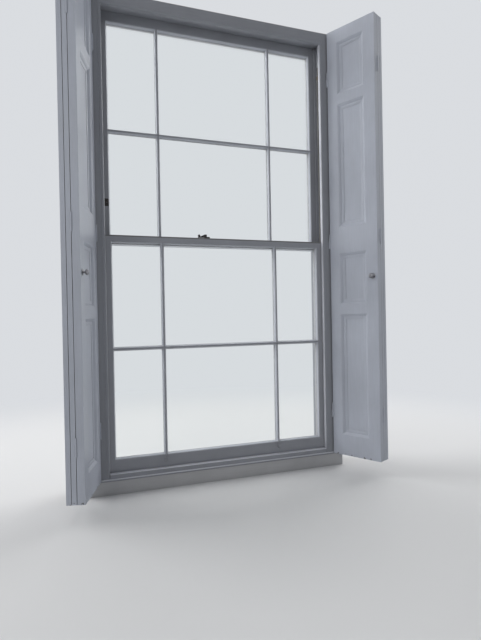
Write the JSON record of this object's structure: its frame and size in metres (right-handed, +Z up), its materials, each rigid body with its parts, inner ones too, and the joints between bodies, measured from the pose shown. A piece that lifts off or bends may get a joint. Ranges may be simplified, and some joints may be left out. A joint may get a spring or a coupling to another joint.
{
  "type": "sash window",
  "caption": "Double-hung timber box sash window with glazing bars, sashes balanced by weights on cords over pulleys, and folding panelled inside shutters.",
  "frame": {"origin": "middle of the sill's underside, on the line of the parting beads", "axes": "+X right as seen from the room, +Y to the outside, +Z up"},
  "size_m": [1.5489, 0.4579, 2.31],
  "materials": {
    "window_glass": "clear drawn glass",
    "weight_iron": "rough cast",
    "pulley_brass": "dulled",
    "cord_cotton": "braided cotton",
    "knob_dark": "satin",
    "fastener_dark": "satin",
    "painted_fittings": "brushed gloss paint",
    "shutter_paint": "brushed eggshell paint",
    "sash_paint": "brushed gloss paint",
    "bare_timber": "sawn pine",
    "sill_paint": "weathered gloss paint",
    "frame_paint": "brushed eggshell paint"
  },
  "bodies": {
    "frame": {"back_linings": "bare_timber", "head": "bare_timber", "inside_lining_head": "frame_paint", "inside_lining_left": "frame_paint", "inside_lining_right": "frame_paint", "outside_lining_head": "frame_paint", "outside_lining_left": "frame_paint", "outside_lining_right": "frame_paint", "parting_beads": "frame_paint", "pocket_pieces": "bare_timber", "pulley_cases": "pulley_brass", "pulley_stile_left": "frame_paint", "pulley_stile_right": "frame_paint", "sash_cord_lower_left": "cord_cotton", "sash_cord_lower_right": "cord_cotton", "sash_cord_upper_left": "cord_cotton", "sash_cord_upper_right": "cord_cotton", "shutter_hinges_left": "painted_fittings", "shutter_hinges_right": "painted_fittings", "sill": "sill_paint", "sill_nosing": "frame_paint", "staff_bead_head": "frame_paint", "staff_bead_left": "frame_paint", "staff_bead_right": "frame_paint", "staff_bead_sill": "frame_paint", "weight_dividers": "bare_timber"},
    "upper_sash": {"upper_glass": "window_glass", "upper_glazing_bars": "sash_paint", "upper_meeting_rail": "sash_paint", "upper_stile_left": "sash_paint", "upper_stile_right": "sash_paint", "upper_top_rail": "sash_paint", "sash_stop": "fastener_dark", "fastener_base": "fastener_dark"},
    "lower_sash": {"lower_bottom_rail": "sash_paint", "lower_glass": "window_glass", "lower_glazing_bars": "sash_paint", "lower_meeting_rail": "sash_paint", "lower_stile_left": "sash_paint", "lower_stile_right": "sash_paint", "sash_lifts": "painted_fittings", "fastener_keep": "fastener_dark"},
    "fastener_arm": {"fastener_arm": "fastener_dark"},
    "pulley_wheel_lower_left": {"pulley_wheel_lower_left": "pulley_brass"},
    "pulley_wheel_lower_right": {"pulley_wheel_lower_right": "pulley_brass"},
    "pulley_wheel_upper_left": {"pulley_wheel_upper_left": "pulley_brass"},
    "pulley_wheel_upper_right": {"pulley_wheel_upper_right": "pulley_brass"},
    "sash_weight_lower_left": {"sash_weight_lower_left": "weight_iron"},
    "sash_weight_lower_right": {"sash_weight_lower_right": "weight_iron"},
    "sash_weight_upper_left": {"sash_weight_upper_left": "weight_iron"},
    "sash_weight_upper_right": {"sash_weight_upper_right": "weight_iron"},
    "shutter_left": {"shutter_front_left": "shutter_paint", "shutter_knob_left": "knob_dark"},
    "shutter_left_middle": {"shutter_middle_flap_left": "shutter_paint"},
    "shutter_left_back": {"shutter_back_flap_left": "shutter_paint"},
    "shutter_right": {"shutter_front_right": "shutter_paint", "shutter_knob_right": "knob_dark"},
    "shutter_right_middle": {"shutter_middle_flap_right": "shutter_paint"},
    "shutter_right_back": {"shutter_back_flap_right": "shutter_paint"}
  },
  "joints": [
    {"name": "lower_sash_slide", "type": "slide", "parent": "frame", "child": "lower_sash", "axis": [0, 0, 1], "range_m": [0, 0.95], "deforming": ["sash_cord_lower_left", "sash_cord_lower_right"]},
    {"name": "upper_sash_slide", "type": "slide", "parent": "frame", "child": "upper_sash", "axis": [0, 0, 1], "range_m": [-0.95, 0], "deforming": ["sash_cord_upper_left", "sash_cord_upper_right"]},
    {"name": "sash_weight_lower_left_slide", "type": "slide", "parent": "frame", "child": "sash_weight_lower_left", "axis": [0, 0, 1], "range_m": [-0.95, 0]},
    {"name": "pulley_wheel_lower_left_spin", "type": "hinge", "parent": "frame", "child": "pulley_wheel_lower_left", "pos_m": [-0.595, -0.0275, 2.09], "axis": [0, -1, 0], "range_deg": [0, 2180]},
    {"name": "sash_weight_lower_right_slide", "type": "slide", "parent": "frame", "child": "sash_weight_lower_right", "axis": [0, 0, 1], "range_m": [-0.95, 0]},
    {"name": "pulley_wheel_lower_right_spin", "type": "hinge", "parent": "frame", "child": "pulley_wheel_lower_right", "pos_m": [0.595, -0.0275, 2.09], "axis": [0, 1, 0], "range_deg": [0, 2180]},
    {"name": "sash_weight_upper_left_slide", "type": "slide", "parent": "frame", "child": "sash_weight_upper_left", "axis": [0, 0, 1], "range_m": [0, 0.95]},
    {"name": "pulley_wheel_upper_left_spin", "type": "hinge", "parent": "frame", "child": "pulley_wheel_upper_left", "pos_m": [-0.595, 0.0275, 2.09], "axis": [0, -1, 0], "range_deg": [-2180, 0]},
    {"name": "sash_weight_upper_right_slide", "type": "slide", "parent": "frame", "child": "sash_weight_upper_right", "axis": [0, 0, 1], "range_m": [0, 0.95]},
    {"name": "pulley_wheel_upper_right_spin", "type": "hinge", "parent": "frame", "child": "pulley_wheel_upper_right", "pos_m": [0.595, 0.0275, 2.09], "axis": [0, 1, 0], "range_deg": [-2180, 0]},
    {"name": "fastener_swing", "type": "hinge", "parent": "upper_sash", "child": "fastener_arm", "pos_m": [-0.062, 0.016, 1.2115], "axis": [0, 0, 1], "range_deg": [0, 90]},
    {"name": "shutter_left_swing", "type": "hinge", "parent": "frame", "child": "shutter_left", "pos_m": [-0.602, -0.0785, 1.188], "axis": [0, 0, 1], "range_deg": [-9.6, 107]},
    {"name": "shutter_left_unfold", "type": "hinge", "parent": "shutter_left", "child": "shutter_left_middle", "pos_m": [-0.7144, -0.33327, 1.188], "axis": [0, 0, 1], "range_deg": [0, 180]},
    {"name": "shutter_left_back_unfold", "type": "hinge", "parent": "shutter_left_middle", "child": "shutter_left_back", "pos_m": [-0.688, -0.17168, 1.188], "axis": [0, 0, -1], "range_deg": [0, 180]},
    {"name": "shutter_right_swing", "type": "hinge", "parent": "frame", "child": "shutter_right", "pos_m": [0.602, -0.0785, 1.188], "axis": [0, 0, -1], "range_deg": [0, 116.6]},
    {"name": "shutter_right_unfold", "type": "hinge", "parent": "shutter_right", "child": "shutter_right_middle", "pos_m": [0.75531, -0.31096, 1.188], "axis": [0, 0, -1], "range_deg": [0, 180]},
    {"name": "shutter_right_back_unfold", "type": "hinge", "parent": "shutter_right_middle", "child": "shutter_right_back", "pos_m": [0.70234, -0.15603, 1.188], "axis": [0, 0, 1], "range_deg": [0, 180]}
  ],
  "couplings": [
    {"joint": "sash_weight_lower_left_slide", "follows": "lower_sash_slide", "ratio": -1},
    {"joint": "pulley_wheel_lower_left_spin", "follows": "lower_sash_slide", "rad_per_m": 40},
    {"joint": "sash_weight_lower_right_slide", "follows": "lower_sash_slide", "ratio": -1},
    {"joint": "pulley_wheel_lower_right_spin", "follows": "lower_sash_slide", "rad_per_m": 40},
    {"joint": "sash_weight_upper_left_slide", "follows": "upper_sash_slide", "ratio": -1},
    {"joint": "pulley_wheel_upper_left_spin", "follows": "upper_sash_slide", "rad_per_m": 40},
    {"joint": "sash_weight_upper_right_slide", "follows": "upper_sash_slide", "ratio": -1},
    {"joint": "pulley_wheel_upper_right_spin", "follows": "upper_sash_slide", "rad_per_m": 40},
    {"joint": "shutter_left_back_unfold", "follows": "shutter_left_unfold", "ratio": 1},
    {"joint": "shutter_right_back_unfold", "follows": "shutter_right_unfold", "ratio": 1}
  ]
}
